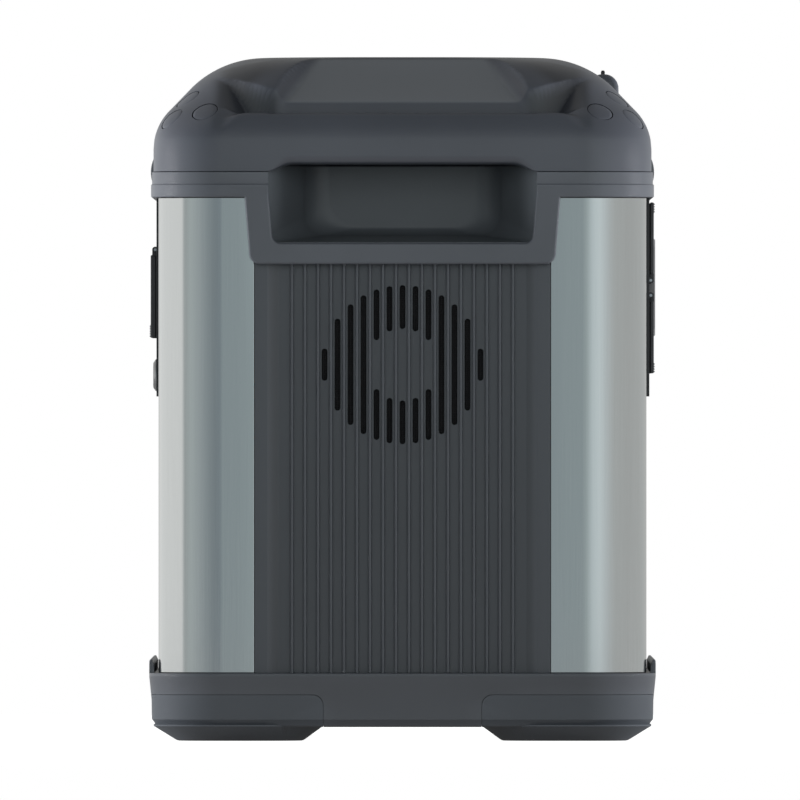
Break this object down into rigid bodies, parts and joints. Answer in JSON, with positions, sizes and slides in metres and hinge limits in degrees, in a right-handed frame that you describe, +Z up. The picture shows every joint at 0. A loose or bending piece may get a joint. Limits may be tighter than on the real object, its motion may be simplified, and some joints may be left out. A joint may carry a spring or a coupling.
{
  "type": "power station",
  "caption": "Portable power station: aluminium case with ribbed vented end panels, domed lid with end grab bars, hinged socket covers and rubber corner feet.",
  "frame": {"origin": "centre of the footprint, on the ground under the feet", "axes": "+X along the length towards the right-hand end panel, -Y towards the control face, +Z up"},
  "size_m": [0.423, 0.2854, 0.3836],
  "materials": {
    "lid_plastic": "fine moulded texture, slate grey",
    "base_plastic": "fine moulded texture, dark slate",
    "cup_plastic": "fine moulded texture, dark",
    "foot_rubber": "soft matt",
    "aluminium": "brushed, satin",
    "fascia_plastic": "fine texture",
    "flap_rubber": "matt with knurled grips",
    "steel": "zinc plated",
    "button_metal": "satin grey",
    "lens": "gloss, smoked",
    "black_plastic": "plain moulded",
    "screen_mesh": "fine woven screen",
    "board_green": "solder mask",
    "cell_blue": "shrink film",
    "copper": "plain copper",
    "cable_jacket": "silicone jacket",
    "fuse_body": "ceramic look"
  },
  "bodies": {
    "housing": {"base_tray": "base_plastic", "corner_feet": "foot_rubber", "foot_screws": "steel", "front_wrap": "aluminium", "rear_wrap": "aluminium", "left_end_panel": "base_plastic", "right_end_panel": "base_plastic", "collar": "lid_plastic", "handle_cups": "cup_plastic", "top_cover": "lid_plastic", "lid_gasket": "foot_rubber", "screw_caps": "lid_plastic", "case_screws": "steel", "side_clips": "cup_plastic", "shoulder_pod": "lid_plastic", "front_fascia": "fascia_plastic", "display_bezel": "fascia_plastic", "display_lens": "lens", "display_board": "board_green", "ac_sockets": "black_plastic", "dc_sockets": "black_plastic", "usb_ports": "black_plastic", "car_socket": "black_plastic", "flap_pins": "steel", "rear_fascia": "fascia_plastic", "input_flap_pin": "steel", "ac_inlet": "black_plastic", "dc_inlet": "black_plastic", "chassis_frame": "steel", "battery_cells": "cell_blue", "cell_end_plates": "aluminium", "cell_straps": "steel", "cell_busbars": "copper", "battery_board": "board_green", "inverter_board": "board_green", "inverter_heatsink": "aluminium", "transformer": "copper", "capacitors": "black_plastic", "charge_board": "board_green", "left_fan_frame": "black_plastic", "right_fan_frame": "black_plastic", "dust_screens": "screen_mesh", "wiring_harness": "cable_jacket", "main_fuse": "fuse_body"},
    "ac_upper_cover": {"ac_flap_upper": "flap_rubber"},
    "ac_lower_cover": {"ac_flap_lower": "flap_rubber"},
    "dc_upper_cover": {"dc_flap_upper": "flap_rubber"},
    "dc_lower_cover": {"dc_flap_lower": "flap_rubber"},
    "input_cover": {"input_flap": "flap_rubber"},
    "power_key": {"power_button": "fascia_plastic"},
    "ac_key": {"ac_button": "fascia_plastic"},
    "dc_key": {"dc_button": "fascia_plastic"},
    "reset_key": {"reset_button": "button_metal"},
    "pod_slider": {"pod_switch": "fascia_plastic"},
    "left_fan": {"left_fan_rotor": "black_plastic"},
    "right_fan": {"right_fan_rotor": "black_plastic"}
  },
  "joints": [
    {"name": "ac_upper_hinge", "type": "hinge", "parent": "housing", "child": "ac_upper_cover", "pos_m": [0.101, -0.1395, 0.2582], "axis": [1, 0, 0], "range_deg": [0, 85]},
    {"name": "ac_lower_hinge", "type": "hinge", "parent": "housing", "child": "ac_lower_cover", "pos_m": [0.101, -0.1395, 0.2498], "axis": [-1, 0, 0], "range_deg": [0, 85]},
    {"name": "dc_upper_hinge", "type": "hinge", "parent": "housing", "child": "dc_upper_cover", "pos_m": [-0.101, -0.1395, 0.2582], "axis": [1, 0, 0], "range_deg": [0, 85]},
    {"name": "dc_lower_hinge", "type": "hinge", "parent": "housing", "child": "dc_lower_cover", "pos_m": [-0.101, -0.1395, 0.2498], "axis": [-1, 0, 0], "range_deg": [0, 85]},
    {"name": "input_hinge", "type": "hinge", "parent": "housing", "child": "input_cover", "pos_m": [0, 0.1395, 0.2758], "axis": [1, 0, 0], "range_deg": [0, 120]},
    {"name": "power_press", "type": "slide", "parent": "housing", "child": "power_key", "axis": [0, 1, 0], "range_m": [0, 0.0012]},
    {"name": "ac_press", "type": "slide", "parent": "housing", "child": "ac_key", "axis": [0, 1, 0], "range_m": [0, 0.0012]},
    {"name": "dc_press", "type": "slide", "parent": "housing", "child": "dc_key", "axis": [0, 1, 0], "range_m": [0, 0.0012]},
    {"name": "reset_press", "type": "slide", "parent": "housing", "child": "reset_key", "axis": [0, -1, 0], "range_m": [0, 0.0015]},
    {"name": "pod_slide", "type": "slide", "parent": "housing", "child": "pod_slider", "axis": [1, 0, 0], "range_m": [-0.003, 0.003]},
    {"name": "left_fan_spin", "type": "hinge", "parent": "housing", "child": "left_fan", "pos_m": [-0.18, 0, 0.2108], "axis": [1, 0, 0], "continuous": true},
    {"name": "right_fan_spin", "type": "hinge", "parent": "housing", "child": "right_fan", "pos_m": [0.18, 0, 0.2108], "axis": [1, 0, 0], "continuous": true}
  ]
}
